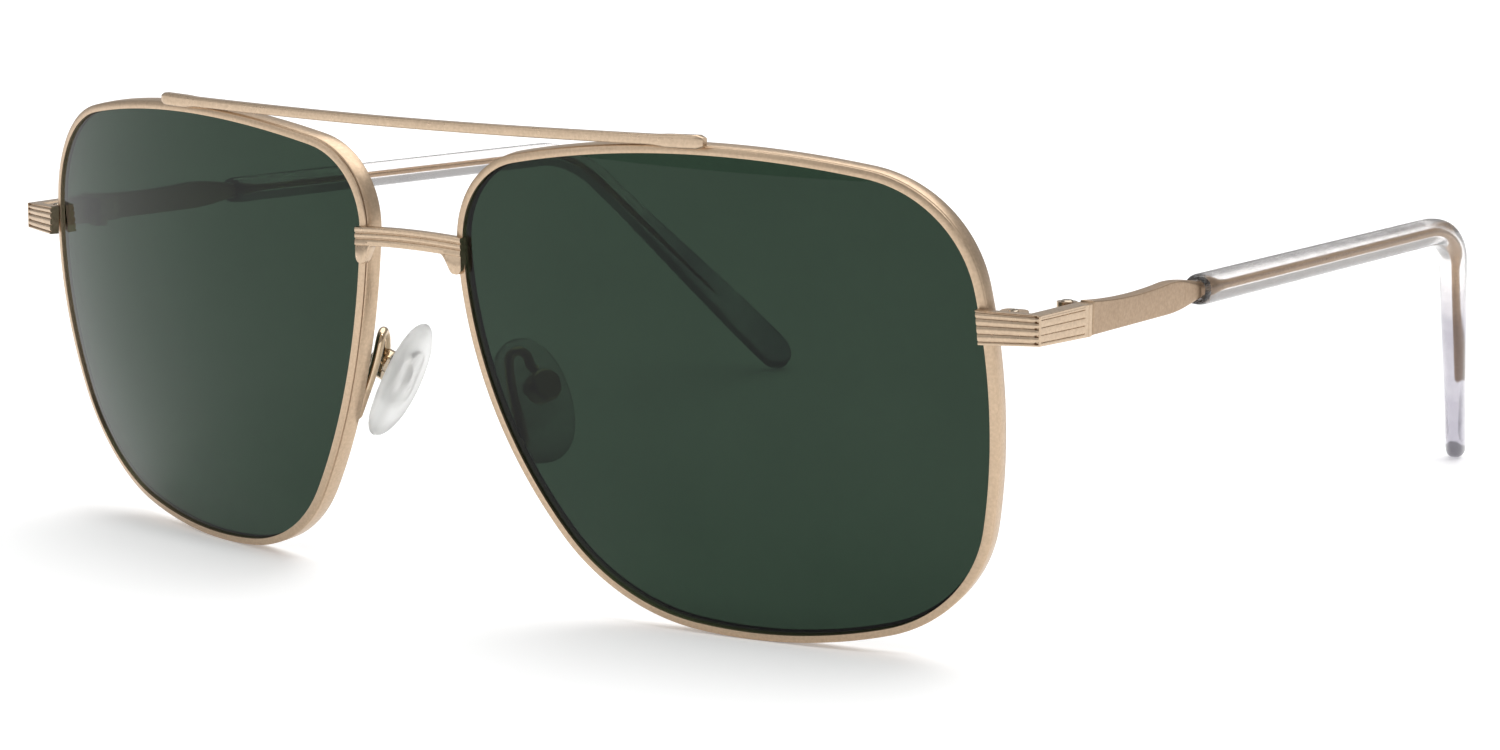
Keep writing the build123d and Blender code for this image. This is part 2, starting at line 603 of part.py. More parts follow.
with BuildPart() as pad_screw:
    with BuildSketch(PIVOT_PLANE.offset(-BOX_FLATS / 2)):
        Circle(PAD_SCREW_RADIUS)
    extrude(amount=BOX_FLATS)
    with BuildSketch(PIVOT_PLANE.offset(BOX_FLATS / 2)):
        Circle(PAD_SCREW_HEAD)
    extrude(amount=PAD_SCREW_HEAD / 2)
    with BuildSketch(PIVOT_PLANE.offset(BOX_FLATS / 2 + PAD_SCREW_HEAD / 2)):
        Rectangle(2 * PAD_SCREW_HEAD, SLOT_WIDTH)
    extrude(amount=-PAD_SCREW_HEAD / 4, mode=Mode.SUBTRACT)
write_pair(pad_screw, "pad_screw")

with BuildPart() as pad_box:
    with BuildSketch(PAD_PLANE.offset(-BOX_BACK)):
        with Locations((0, PIVOT_RISE)):
            Circle(BOX_RADIUS)
            Rectangle(BOX_FLATS, 2 * BOX_RADIUS, mode=Mode.INTERSECT)
    extrude(amount=BOX_BACK - BOX_FRONT)
    fillet(pad_box.faces().sort_by(Axis(PAD_PLANE.origin, PAD_PLANE.z_dir))[0].edges(), 0.3)
    with BuildSketch(PAD_PLANE.offset(-BOX_FRONT)):
        with Locations((0, PIVOT_RISE)):
            Rectangle(BOX_SLOT, BOX_SLOT_LENGTH)
    extrude(amount=BOX_FRONT - PIVOT_DEPTH - BOX_SLOT_REACH, mode=Mode.SUBTRACT)
    add(pad_screw.part, mode=Mode.SUBTRACT)
write_pair(pad_box, "pad_box")

with BuildPart() as pad_arm:
    with BuildLine() as arm_route:
        FilletPolyline(*ARM_ROUTE, radius=list(ARM_BENDS))
    arm_wire = arm_route.wires()[0]
    with BuildSketch(Plane(origin=arm_wire @ 0, z_dir=arm_wire % 0)):
        Circle(ARM_RADIUS)
    sweep(path=arm_wire)
    add(pad_box.part, mode=Mode.SUBTRACT)
    add(rim.part, mode=Mode.SUBTRACT)
    add(lens.part, mode=Mode.SUBTRACT)
write_pair(pad_arm, "pad_arm")
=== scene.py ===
import json
from math import atan2, cos, pi, radians, sin, sqrt, tan

import bpy
import numpy as np
from mathutils import Matrix, Vector


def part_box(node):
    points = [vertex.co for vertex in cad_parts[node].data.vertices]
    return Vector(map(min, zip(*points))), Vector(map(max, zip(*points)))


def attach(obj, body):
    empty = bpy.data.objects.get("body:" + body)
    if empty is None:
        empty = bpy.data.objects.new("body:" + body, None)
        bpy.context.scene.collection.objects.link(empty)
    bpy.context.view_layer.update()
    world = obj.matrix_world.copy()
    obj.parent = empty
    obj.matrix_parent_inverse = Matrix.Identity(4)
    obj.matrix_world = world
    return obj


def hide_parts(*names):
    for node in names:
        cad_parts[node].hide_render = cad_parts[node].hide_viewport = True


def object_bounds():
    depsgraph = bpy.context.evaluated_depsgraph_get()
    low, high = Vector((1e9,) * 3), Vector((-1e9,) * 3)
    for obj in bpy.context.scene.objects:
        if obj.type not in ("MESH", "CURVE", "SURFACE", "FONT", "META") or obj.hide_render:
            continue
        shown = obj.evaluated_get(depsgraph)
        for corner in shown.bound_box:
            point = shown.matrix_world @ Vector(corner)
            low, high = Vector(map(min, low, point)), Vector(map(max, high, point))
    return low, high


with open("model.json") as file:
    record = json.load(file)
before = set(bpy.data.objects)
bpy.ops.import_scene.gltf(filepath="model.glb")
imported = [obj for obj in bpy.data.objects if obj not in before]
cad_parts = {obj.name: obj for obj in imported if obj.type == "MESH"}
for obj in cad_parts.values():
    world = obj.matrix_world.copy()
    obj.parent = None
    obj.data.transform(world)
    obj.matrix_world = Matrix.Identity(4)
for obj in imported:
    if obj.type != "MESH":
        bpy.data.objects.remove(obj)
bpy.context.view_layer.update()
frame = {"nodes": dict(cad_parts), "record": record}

# Aviator sunglasses. Lengths below are millimetres in the CAD frame, and MM turns them into metres.
# +X is the wearer's left, +Y runs back along the temples, +Z is up. Pieces are made for the left
# side and mirrored about x = 0 for the right.
MM = 0.001
SIDES = {"left": 1, "right": -1}


def cad_box(node):
    """A CAD node's lowest and highest corners, in millimetres."""
    return [np.array(corner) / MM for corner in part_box(node)]


# --- Lens opening: the CAD model's own dimensions, seen along the lens axis from the front -------
# Four corners in order, the crown of each side above the straight line to the next corner, and the
# radius at each corner. Depths are measured back from the sphere that the rim's front lip lies on.
LENS_SPREAD = 35.5
LENS_HEIGHT = 24.4
WRAP = radians(9.5)
TILT = radians(7.7)
BASE_RADIUS = 120.0
CORNERS = ((-28.5, 20.1), (24.9, 20.8), (25.1, -19.4), (-12.0, -22.2))
CROWNS = (3.7, 3.5, 3.2, 5.0)
CORNER_RADII = (8.5, 13.2, 14.5, 20.4)

LENS_ORIGIN = np.array([LENS_SPREAD, 0, LENS_HEIGHT])
LENS_RIGHT = np.array([cos(WRAP), sin(WRAP), 0])
LENS_NORMAL = np.array([cos(TILT) * sin(WRAP), -cos(TILT) * cos(WRAP), -sin(TILT)])
LENS_UP = np.cross(LENS_NORMAL, LENS_RIGHT)


def circle_meeting(first, first_radius, second, second_radius, near):
    """The point at these distances from two centres that is nearer to a third point."""
    gap = second - first
    distance = np.linalg.norm(gap)
    along = (distance**2 + first_radius**2 - second_radius**2) / (2 * distance)
    across = sqrt(first_radius**2 - along**2)
    middle = first + gap / distance * along
    turn = np.array([-gap[1], gap[0]]) / distance * across
    return min((middle + turn, middle - turn), key=lambda point: np.linalg.norm(point - near))


def opening_arcs():
    """The lens opening as arcs in order: centre, radius, start angle and end angle."""
    corners = [np.array(corner) for corner in CORNERS]
    sides = []
    for start, end, crown in zip(corners, corners[1:] + corners[:1], CROWNS):
        chord = end - start
        length = np.linalg.norm(chord)
        inward = np.array([chord[1], -chord[0]]) / length
        radius = (length**2 / 4 + crown**2) / (2 * crown)
        sides.append((start + chord / 2 + inward * (radius - crown), radius))
    fillets = []
    for index, (corner, radius) in enumerate(zip(corners, CORNER_RADII)):
        (before, before_radius), (after, after_radius) = sides[index - 1], sides[index]
        centre = circle_meeting(before, before_radius - radius, after, after_radius - radius, corner * 0.7)
        fillets.append((centre, radius))

    def angle(tip, tail):
        return atan2(tip[1] - tail[1], tip[0] - tail[0])

    arcs = []
    for index, (centre, radius) in enumerate(fillets):
        side_before, side_after = sides[index - 1][0], sides[index][0]
        after_fillet = fillets[(index + 1) % len(fillets)][0]
        arcs.append((centre, radius, angle(centre, side_before), angle(centre, side_after)))
        arcs.append((side_after, sides[index][1], angle(centre, side_after), angle(after_fillet, side_after)))
    return arcs


def opening_samples(spacing):
    """Points round the opening: arc centre, radius and angle, clockwise seen from the front."""
    samples = []
    for centre, radius, start, end in opening_arcs():
        turn = (start - end) % (2 * pi)
        count = max(3, round(turn * radius / spacing))
        for step in range(count):
            samples.append((centre, radius, start - turn * step / count))
    return samples


def on_lens(u, v, depth):
    """Point over u, v of the lens plane, on the sphere at a depth behind the rim's lip."""
    w = sqrt((BASE_RADIUS - depth) ** 2 - u * u - v * v) - BASE_RADIUS
    return LENS_ORIGIN + LENS_RIGHT * u + LENS_UP * v + LENS_NORMAL * w


def round_opening(sample, growth, depth):
    """Point of the opening grown outwards, at a depth behind the rim's lip."""
    centre, radius, angle = sample
    u, v = centre + (radius + growth) * np.array([cos(angle), sin(angle)])
    return on_lens(u, v, depth)


# --- Mesh helpers -----------------------------------------------------------------------------
def signed_volume(points, faces):
    """Six times the volume inside the faces, negative where they face inward."""
    total = 0.0
    for face in faces:
        corners = points[list(face)]
        for second, third in zip(corners[1:], corners[2:]):
            total += corners[0] @ np.cross(second, third)
    return total


def new_piece(name, points, faces, body, side, slot, replaces=(), sharp=35):
    """A mesh object from millimetre points, mirrored for the right side, riding on its body."""
    flat = np.array(points, float) * [side, 1, 1] * MM
    if signed_volume(flat, faces) < 0:
        faces = [face[::-1] for face in faces]
    mesh = bpy.data.meshes.new(name)
    mesh.from_pydata(flat.tolist(), [], faces)
    mesh.validate()
    mesh.shade_smooth()
    mesh.set_sharp_from_angle(angle=radians(sharp))
    piece = bpy.data.objects.new(name, mesh)
    bpy.context.scene.collection.objects.link(piece)
    piece.data.materials.append(MATERIALS[slot])
    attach(piece, body)
    if replaces:
        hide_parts(*replaces)
    return piece


def loft(rings, loop=False):
    """Points and faces of a skin through rings of equally many points, capped unless it is a loop."""
    count = len(rings[0])
    points = [point for ring in rings for point in ring]
    faces = []
    for step in range(len(rings) if loop else len(rings) - 1):
        this, after = step * count, (step + 1) % len(rings) * count
        for index in range(count):
            beside = (index + 1) % count
            faces.append((this + index, this + beside, after + beside, after + index))
    if not loop:
        faces.append(tuple(range(count))[::-1])
        faces.append(tuple(range(len(points) - count, len(points))))
    return points, faces


def smoothstep(value, start, end):
    """0 before the start, 1 past the end, and an S-curve between them."""
    share = min(1.0, max(0.0, (value - start) / (end - start)))
    return share * share * (3 - 2 * share)


def mix(first, second, share):
    """Blend from the first number to the second."""
    return first * (1 - share) + second * share


def superellipse(half_width, half_height, power, count=40):
    """Points of a rounded section: an ellipse at power 2, and nearer a rectangle the higher it is."""
    ring = []
    for step in range(count):
        angle = 2 * pi * step / count
        c, s = cos(angle), sin(angle)
        reach = (abs(c) ** power + abs(s) ** power) ** (-1 / power)
        ring.append((half_width * c * reach, half_height * s * reach))
    return ring


def rounded_box(half_width, half_height, radius, count=10):
    """Points of a rectangle with round corners, counted per corner."""
    ring = []
    for corner, (x, y) in enumerate(((1, 1), (-1, 1), (-1, -1), (1, -1))):
        for step in range(count):
            angle = pi / 2 * (corner + step / (count - 1))
            across = x * (half_width - radius) + radius * cos(angle)
            ring.append((across, y * (half_height - radius) + radius * sin(angle)))
    return ring


# --- Materials --------------------------------------------------------------------------------
NOISE_LOW, NOISE_HIGH = 0.3, 0.7
METAL_TINT, METAL_GLOSS, METAL_GRAIN = 3200, 1500, 5000
GRAIN_HEIGHT = 0.00002
PLASTIC_TINT, PLASTIC_GLOSS, PLASTIC_RIPPLE = 90, 400, 260
RIPPLE_HEIGHT = 0.00005
TIP_GREY_BELOW, TIP_CLEAR_ABOVE = 0.016, 0.036


def new_material(name):
    """A material with its nodes, its links and its shader."""
    material = bpy.data.materials.new(name)
    material.use_nodes = True
    nodes = material.node_tree.nodes
    return material, nodes, material.node_tree.links, nodes["Principled BSDF"]


def noise(nodes, links, scale, detail=4.0):
    """A noise value in object space, with a scale in features per metre."""
    place = nodes.new("ShaderNodeTexCoord")
    texture = nodes.new("ShaderNodeTexNoise")
    texture.inputs["Scale"].default_value = scale
    texture.inputs["Detail"].default_value = detail
    links.new(place.outputs["Object"], texture.inputs["Vector"])
    return texture.outputs["Fac"]


def spread(nodes, links, value, low, high):
    """Map a noise value to a range."""
    ranged = nodes.new("ShaderNodeMapRange")
    ranged.inputs["From Min"].default_value = NOISE_LOW
    ranged.inputs["From Max"].default_value = NOISE_HIGH
    ranged.inputs["To Min"].default_value = low
    ranged.inputs["To Max"].default_value = high
    links.new(value, ranged.inputs["Value"])
    return ranged.outputs["Result"]


def tint(nodes, links, value, first, second):
    """Blend two colours by a noise value."""
    ramp = nodes.new("ShaderNodeValToRGB")
    for element, place, colour in zip(ramp.color_ramp.elements, (NOISE_LOW, NOISE_HIGH), (first, second)):
        element.position = place
        element.color = (*colour, 1)
    links.new(value, ramp.inputs["Fac"])
    return ramp.outputs["Color"]


def bump(nodes, links, shader, value, strength, height):
    """Roughen a surface by a noise value, over a height in metres."""
    raised = nodes.new("ShaderNodeBump")
    raised.inputs["Strength"].default_value = strength
    raised.inputs["Distance"].default_value = height
    links.new(value, raised.inputs["Height"])
    links.new(raised.outputs["Normal"], shader.inputs["Normal"])


def metal(name, dark, light, smooth, rough, grain):
    """Plated metal: its colour drifts between two tones, and fine grain breaks up its gloss."""
    material, nodes, links, shader = new_material(name)
    shader.inputs["Metallic"].default_value = 1.0
    colour = tint(nodes, links, noise(nodes, links, METAL_TINT, 8.0), dark, light)
    links.new(colour, shader.inputs["Base Color"])
    gloss = spread(nodes, links, noise(nodes, links, METAL_GLOSS), smooth, rough)
    links.new(gloss, shader.inputs["Roughness"])
    bump(nodes, links, shader, noise(nodes, links, METAL_GRAIN, 2.0), grain, GRAIN_HEIGHT)
    return material


def raised_with_height(nodes, links, value, low, high):
    """A noise value made smaller below a low height and larger above a high one, in metres."""
    place = nodes.new("ShaderNodeTexCoord")
    parts = nodes.new("ShaderNodeSeparateXYZ")
    links.new(place.outputs["Object"], parts.inputs["Vector"])
    climb = nodes.new("ShaderNodeMapRange")
    climb.inputs["From Min"].default_value = low
    climb.inputs["From Max"].default_value = high
    links.new(parts.outputs["Z"], climb.inputs["Value"])
    raised = nodes.new("ShaderNodeMath")
    raised.operation = "MULTIPLY_ADD"
    raised.inputs[1].default_value = 0.5
    links.new(climb.outputs["Result"], raised.inputs[0])
    links.new(value, raised.inputs[2])
    lowered = nodes.new("ShaderNodeMath")
    lowered.operation = "SUBTRACT"
    lowered.inputs[1].default_value = 0.2
    links.new(raised.outputs["Value"], lowered.inputs[0])
    return lowered.outputs["Value"]


def clear(name, first, second, ior, smooth, rough, ripple=0.0, through=1.0, greyer_down=False):
    """Clear plastic or glass, with a cast between two colours and a faintly uneven surface."""
    material, nodes, links, shader = new_material(name)
    shader.inputs["Transmission Weight"].default_value = through
    shader.inputs["IOR"].default_value = ior
    cast = noise(nodes, links, PLASTIC_TINT)
    if greyer_down:
        cast = raised_with_height(nodes, links, cast, TIP_GREY_BELOW, TIP_CLEAR_ABOVE)
    links.new(tint(nodes, links, cast, first, second), shader.inputs["Base Color"])
    gloss = spread(nodes, links, noise(nodes, links, PLASTIC_GLOSS), smooth, rough)
    links.new(gloss, shader.inputs["Roughness"])
    if ripple:
        bump(nodes, links, shader, noise(nodes, links, PLASTIC_RIPPLE, 2.0), ripple, RIPPLE_HEIGHT)
    return material


def paint(name, scale, dark, light, rough):
    """A matt coat, its colour drifting between two tones."""
    material, nodes, links, shader = new_material(name)
    links.new(tint(nodes, links, noise(nodes, links, scale), dark, light), shader.inputs["Base Color"])
    shader.inputs["Roughness"].default_value = rough
    return material


MATERIALS = {
    "rim_gold": metal("rim_gold", (0.50, 0.375, 0.262), (0.60, 0.45, 0.315), 0.30, 0.40, 0.5),
    "trim_gold": metal("trim_gold", (0.52, 0.395, 0.28), (0.62, 0.475, 0.34), 0.26, 0.36, 0.4),
    "temple_gold": metal("temple_gold", (0.38, 0.27, 0.18), (0.47, 0.34, 0.23), 0.36, 0.46, 0.7),
    "arm_gold": metal("arm_gold", (0.60, 0.46, 0.31), (0.64, 0.50, 0.35), 0.08, 0.15, 0.05),
    "hinge_metal": metal("hinge_metal", (0.52, 0.39, 0.27), (0.58, 0.44, 0.31), 0.24, 0.32, 0.15),
    "screw_steel": metal("screw_steel", (0.50, 0.42, 0.33), (0.56, 0.48, 0.38), 0.15, 0.25, 0.08),
    "lens_green": clear("lens_green", (0.017, 0.034, 0.021), (0.019, 0.037, 0.023), 1.26, 0.0, 0.004),
    "clear_tip": clear(
        "clear_tip", (0.44, 0.42, 0.48), (0.97, 0.94, 0.93), 1.3, 0.08, 0.22, 0.3, greyer_down=True,
    ),
    "silicone": clear("silicone", (0.86, 0.86, 0.84), (0.97, 0.97, 0.96), 1.3, 0.3, 0.5, 0.6, through=0.75),
    "pad_plastic": clear("pad_plastic", (0.92, 0.92, 0.90), (0.97, 0.97, 0.96), 1.52, 0.03, 0.08, 0.10),
}
# Near-black paint for the lens's edge and a thin ring round its back. The edge is as dark as a tinted lens's
# edge really is, and both stand for painted shade in the rim's groove.
LENS_EDGE_AND_SHADE = paint("lens_edge_and_shade", 600, (0.003, 0.005, 0.004), (0.006, 0.008, 0.006), 0.6)

for node, piece in frame["nodes"].items():
    slot = next(part["material_slot"] for part in frame["record"]["subparts"] if part["node"] == node)
    piece.data.materials.clear()
    piece.data.materials.append(MATERIALS[slot])


# --- Lens: two spherical faces, with its edge and a ring at the back against the rim painted black as the shade of the rim's groove ---
LENS_FRONT = 0.28
LENS_BACK = 1.98
LENS_GROWTH = 0.12
LENS_STEPS = 14
LENS_CENTRE = 0.004


def make_lens(name, side):
    samples = opening_samples(1.0)
    shares = [max(LENS_CENTRE, 1 - (1 - step / LENS_STEPS) ** 1.6) for step in range(LENS_STEPS + 1)]
    rings = []
    for depth, order in ((LENS_FRONT, shares), (LENS_BACK, shares[::-1])):
        for share in order:
            ring = []
            for centre, radius, angle in samples:
                u, v = centre + (radius + LENS_GROWTH) * np.array([cos(angle), sin(angle)])
                ring.append(on_lens(u * share, v * share, depth))
            rings.append(ring)
    points, faces = loft(rings)
    lens = new_piece(f"lens_glass_{name}", points, faces, "front", side, "lens_green", [f"lens_{name}"])
    # The edge and the outermost band of the back take the painted shade.
    lens.data.materials.append(LENS_EDGE_AND_SHADE)
    for face in range(LENS_STEPS * len(samples), (LENS_STEPS + 2) * len(samples)):
        lens.data.polygons[face].material_index = 1


# --- Rim: a wire with a rounded front lip and a fine line round its outer wall ---------------------
# The line is cut deeper than in the CAD model, so that it stays dark.
RIM_WIDTH = 0.82
RIM_DEPTH = 2.05
WALL_LINE_CUT = 0.34
WALL_LINE_FRONT = 0.12
WALL_LINE_BACK = 0.32


def make_rim(name, side):
    """The profile runs from the inner wall, over the lip, down the outer wall and along the back."""
    line_floor = RIM_WIDTH - WALL_LINE_CUT
    profile = (
        (0.00, 0.07), (0.02, 0.02), (0.07, 0.00), (RIM_WIDTH * 0.45, -0.03), (RIM_WIDTH - 0.10, 0.00),
        (RIM_WIDTH - 0.03, 0.025), (RIM_WIDTH - 0.01, WALL_LINE_FRONT - 0.03),
        (RIM_WIDTH - 0.03, WALL_LINE_FRONT), (line_floor, WALL_LINE_FRONT + 0.02),
        (line_floor, WALL_LINE_BACK - 0.03),
        (RIM_WIDTH - 0.02, WALL_LINE_BACK), (RIM_WIDTH + 0.01, WALL_LINE_BACK + 0.05),
        (RIM_WIDTH + 0.02, RIM_DEPTH * 0.6), (RIM_WIDTH, RIM_DEPTH - 0.14),
        (RIM_WIDTH - 0.04, RIM_DEPTH - 0.04), (RIM_WIDTH - 0.14, RIM_DEPTH),
        (0.12, RIM_DEPTH), (0.03, RIM_DEPTH - 0.03), (0.00, RIM_DEPTH - 0.12),
    )
    rings = [[round_opening(s, growth, depth) for growth, depth in profile] for s in opening_samples(0.6)]
    points, faces = loft(rings, loop=True)
    new_piece(f"rim_wire_{name}", points, faces, "front", side, "rim_gold", [f"rim_{name}"], sharp=50)


# --- Brow bar: a flat bowed wire, thicker where it is soldered to the rims -------------------------
BAR_TOP = cad_box("brow_bar")[1][2]
BAR_HALF_SPAN = 36.5
BAR_HEIGHT = 1.05
BAR_DEPTH = 1.2
BAR_END_FRONT = -1.75
BAR_MIDDLE_FRONT = -3.6
BAR_SAG = 0.45
BAR_FOOT_LENGTH = 4.2
BAR_FOOT_DROP = 1.35
BAR_STEP = 0.14
BAR_STATIONS = 121


def make_brow_bar():
    foot_start = BAR_HALF_SPAN - BAR_FOOT_LENGTH
    rings = []
    for step in range(BAR_STATIONS):
        x = BAR_HALF_SPAN * (2 * step / (BAR_STATIONS - 1) - 1)
        share = (x / BAR_HALF_SPAN) ** 2
        front = mix(BAR_MIDDLE_FRONT, BAR_END_FRONT, share)
        foot = smoothstep(abs(x), foot_start - 1.5, foot_start + 0.5)
        height = mix(BAR_HEIGHT, BAR_FOOT_DROP, foot)
        top = BAR_TOP - BAR_SAG * (1 - share) - BAR_STEP * (1 - foot) * share**2
        inset = 0.25 * smoothstep(abs(x), BAR_HALF_SPAN - 0.35, BAR_HALF_SPAN)
        section = superellipse(BAR_DEPTH / 2 - inset, height / 2 - inset, 5.0, 32)
        rings.append([(x, front + BAR_DEPTH / 2 + y, top - height / 2 + z) for y, z in section])
    points, faces = loft(rings)
    new_piece("brow_bar_wire", points, faces, "front", 1, "trim_gold", ["brow_bar"], sharp=60)


# --- Bridge: three ribs over a rounded, slightly recessed tab at each end ---------------------------
# It is arched more than in the CAD model, up to the same top.
BRIDGE_RISE = 0.3
BRIDGE_TOP = cad_box("bridge")[1][2] - BRIDGE_RISE
BRIDGE_HALF_SPAN = 7.17
BRIDGE_FRONT = -2.95
BRIDGE_BULGE = 0.45
BRIDGE_THICKNESS = 1.05
BRIDGE_HEIGHT = 1.95
BRIDGE_STATIONS = 81
BRIDGE_GROOVES = (0.60, 1.20)
GROOVE_HALF = 0.09
GROOVE_DEPTH = 0.13
TAB_DROP = 1.85
TAB_WIDTH = 1.6
TAB_BLEND = 0.9
TAB_RECESS = 0.08
TAB_CORNER = 0.7
TAB_START = BRIDGE_HALF_SPAN - TAB_WIDTH - TAB_BLEND


def bridge_bottom(x):
    """Depth of the bridge's lower edge below its top, with the rounded tab at each end."""
    drop = TAB_DROP * smoothstep(abs(x), TAB_START, TAB_START + 1.5)
    corner = max(0.0, abs(x) - (BRIDGE_HALF_SPAN - TAB_CORNER))
    return BRIDGE_HEIGHT + drop - TAB_CORNER + sqrt(max(0.0, TAB_CORNER**2 - corner**2))


def bridge_section(x):
    """Inward depth and drop of the section's points, from the top of the back round by the front."""
    back = BRIDGE_THICKNESS
    outline = [(back, 0.08), (back - 0.08, 0.0), (0.14, 0.0), (0.04, 0.04), (0.0, 0.14)]
    for groove in BRIDGE_GROOVES:
        outline += [
            (0.0, groove - GROOVE_HALF - 0.05), (0.03, groove - GROOVE_HALF),
            (GROOVE_DEPTH, groove - 0.03), (GROOVE_DEPTH, groove + 0.03),
            (0.03, groove + GROOVE_HALF), (0.0, groove + GROOVE_HALF + 0.05),
        ]
    bottom = bridge_bottom(x)
    line = min(BRIDGE_HEIGHT, bottom - 0.28)
    recess = TAB_RECESS * smoothstep(abs(x), TAB_START, TAB_START + TAB_BLEND)
    return outline + [
        (0.0, line - 0.10), (recess * 1.6, line - 0.03), (recess * 1.6, line + 0.02), (recess, line + 0.08),
        (recess, bottom - 0.14), (recess + 0.04, bottom - 0.04), (recess + 0.14, bottom),
        (back - 0.08, bottom), (back, bottom - 0.08),
    ]


def make_bridge():
    rings = []
    for step in range(BRIDGE_STATIONS):
        x = BRIDGE_HALF_SPAN * sin(pi * (step / (BRIDGE_STATIONS - 1) - 0.5))
        share = (x / BRIDGE_HALF_SPAN) ** 2
        top = BRIDGE_TOP + BRIDGE_RISE * (1 - share)
        front = BRIDGE_FRONT - BRIDGE_BULGE * (1 - share)
        rings.append([(x, front + y, top - z) for y, z in bridge_section(x)])
    points, faces = loft([ring[::-1] for ring in rings])
    new_piece("bridge_ribbed", points, faces, "front", 1, "trim_gold", ["bridge"], sharp=40)


# --- End piece: ribbed front and side plates with a crisp corner ----------------------------------
END_INNER = np.array([62.75, 5.62])
END_MITRE = np.array([68.75, 7.5])
END_JOINT = np.array([68.95, 16.6])
END_MIDDLE = 34.0
END_INNER_HEIGHT = 3.25
END_FRONT_HEIGHT = 2.9
END_BACK_HEIGHT = 3.2
END_PLATE = 1.1
SIDE_PLATE = 1.5
FRONT_GROOVES = (0.06, 0.23, 0.44, 0.675, 0.90)
SIDE_GROOVES = (0.05, 0.15, 0.39, 0.63, 0.87)
FRONT_CUT = 0.22
SIDE_CUT = 0.13
POCKET_CUT = 0.42
END_SLANT = 0.35
SAME_PLACE = 0.01


def end_section(height, grooves, cuts, half, crown):
    """Inward depth and height of a plate's outer face, from top to bottom.

    Each groove has its place as a share of the height, its cut, and half its width. The ribs
    between them are rounded off by the crown.
    """
    top = height / 2
    outline = [(0.10, top), (0.03, top - 0.02), (0.01, top - 0.05)]
    levels = [top - share * height for share in grooves] + [0.04 - half - top]
    for cut, level, below in zip(cuts, levels, levels[1:]):
        deep = max(cut, crown)
        outline += [
            (crown, level + half), (deep, level + half * 0.4),
            (deep, level - half * 0.4), (crown, level - half),
        ]
        rib = level - below - 2 * half
        outline += [
            (crown * 0.3, level - half - rib * 0.22), (0.0, level - half - rib * 0.5),
            (crown * 0.3, level - half - rib * 0.78),
        ]
    return outline + [(0.03, 0.02 - top), (0.10, -top)]


def make_end_piece(name, side):
    front_line = END_MITRE - END_INNER
    side_line = END_JOINT - END_MITRE
    front_length, side_length = np.linalg.norm(front_line), np.linalg.norm(side_line)
    front_inward = np.array([-front_line[1], front_line[0]]) / front_length
    side_inward = np.array([-side_line[1], side_line[0]]) / side_length
    mitre_inward = (front_inward + side_inward) / (1 + front_inward @ side_inward)
    ribs = [FRONT_CUT] * len(FRONT_GROOVES)
    pockets = [POCKET_CUT] * len(FRONT_GROOVES)
    side_ribs = [0.0] + [SIDE_CUT] * (len(SIDE_GROOVES) - 1)
    flat = [0.0] * len(FRONT_GROOVES)
    joint = front_length + side_length
    # Distance along both plates, the cuts of the grooves, half their width, the crown of the ribs,
    # and how far the whole face is set in.
    stations = [
        (0.0, ribs, 0.07, 0.07, 0.0), (0.07, ribs, 0.06, 0.07, 0.0),
        (front_length - 0.62, ribs, 0.06, 0.07, 0.0),
        (front_length - 0.44, pockets, 0.11, 0.07, 0.0), (front_length - 0.20, pockets, 0.11, 0.07, 0.0),
        (front_length - 0.15, flat, 0.06, 0.0, 0.0), (front_length, flat, 0.06, 0.0, 0.0),
        (front_length + 0.14, flat, 0.06, 0.0, 0.0), (front_length + 0.24, side_ribs, 0.06, 0.02, 0.0),
        (joint - 1.35, side_ribs, 0.06, 0.02, 0.0), (joint - 1.2, flat, 0.05, 0.0, 0.0),
        (joint - 0.67, flat, 0.05, 0.0, 0.0), (joint - 0.63, flat, 0.05, 0.0, 0.06),
        (joint - 0.56, flat, 0.05, 0.0, 0.06), (joint - 0.52, flat, 0.05, 0.0, 0.0),
        (joint - 0.03, flat, 0.05, 0.0, 0.0), (joint, flat, 0.05, 0.0, 0.03),
    ]
    rings = []
    for along, cuts, half, crown, inset in stations:
        on_front = along < front_length + SAME_PLACE
        if on_front:
            place, inward, thick = END_INNER + front_line * along / front_length, front_inward, END_PLATE
            height = mix(END_INNER_HEIGHT, END_FRONT_HEIGHT, along / front_length)
        else:
            place = END_MITRE + side_line * (along - front_length) / side_length
            inward, thick = side_inward, SIDE_PLATE
            height = mix(END_FRONT_HEIGHT, END_BACK_HEIGHT, (along - front_length) / side_length)
        if abs(along - front_length) < SAME_PLACE:
            inward = mitre_inward
        grooves = FRONT_GROOVES if on_front else SIDE_GROOVES
        section = end_section(height - 2 * inset, grooves, cuts, half, crown)
        section = [(depth + inset, z) for depth, z in section]
        section = [(thick, section[0][1])] + section + [(thick, section[-1][1])]
        slant = END_SLANT if along < 0.5 else 0.0
        ring = []
        for depth, z in section:
            spot = place + inward * depth + front_line / front_length * slant * (0.5 - z / height)
            ring.append((*spot, END_MIDDLE + z))
        rings.append(ring)
    points, faces = loft(rings)
    replaced = [f"end_piece_{name}"]
    new_piece(f"end_plate_{name}", points, faces, "front", side, "trim_gold", replaced, sharp=28)


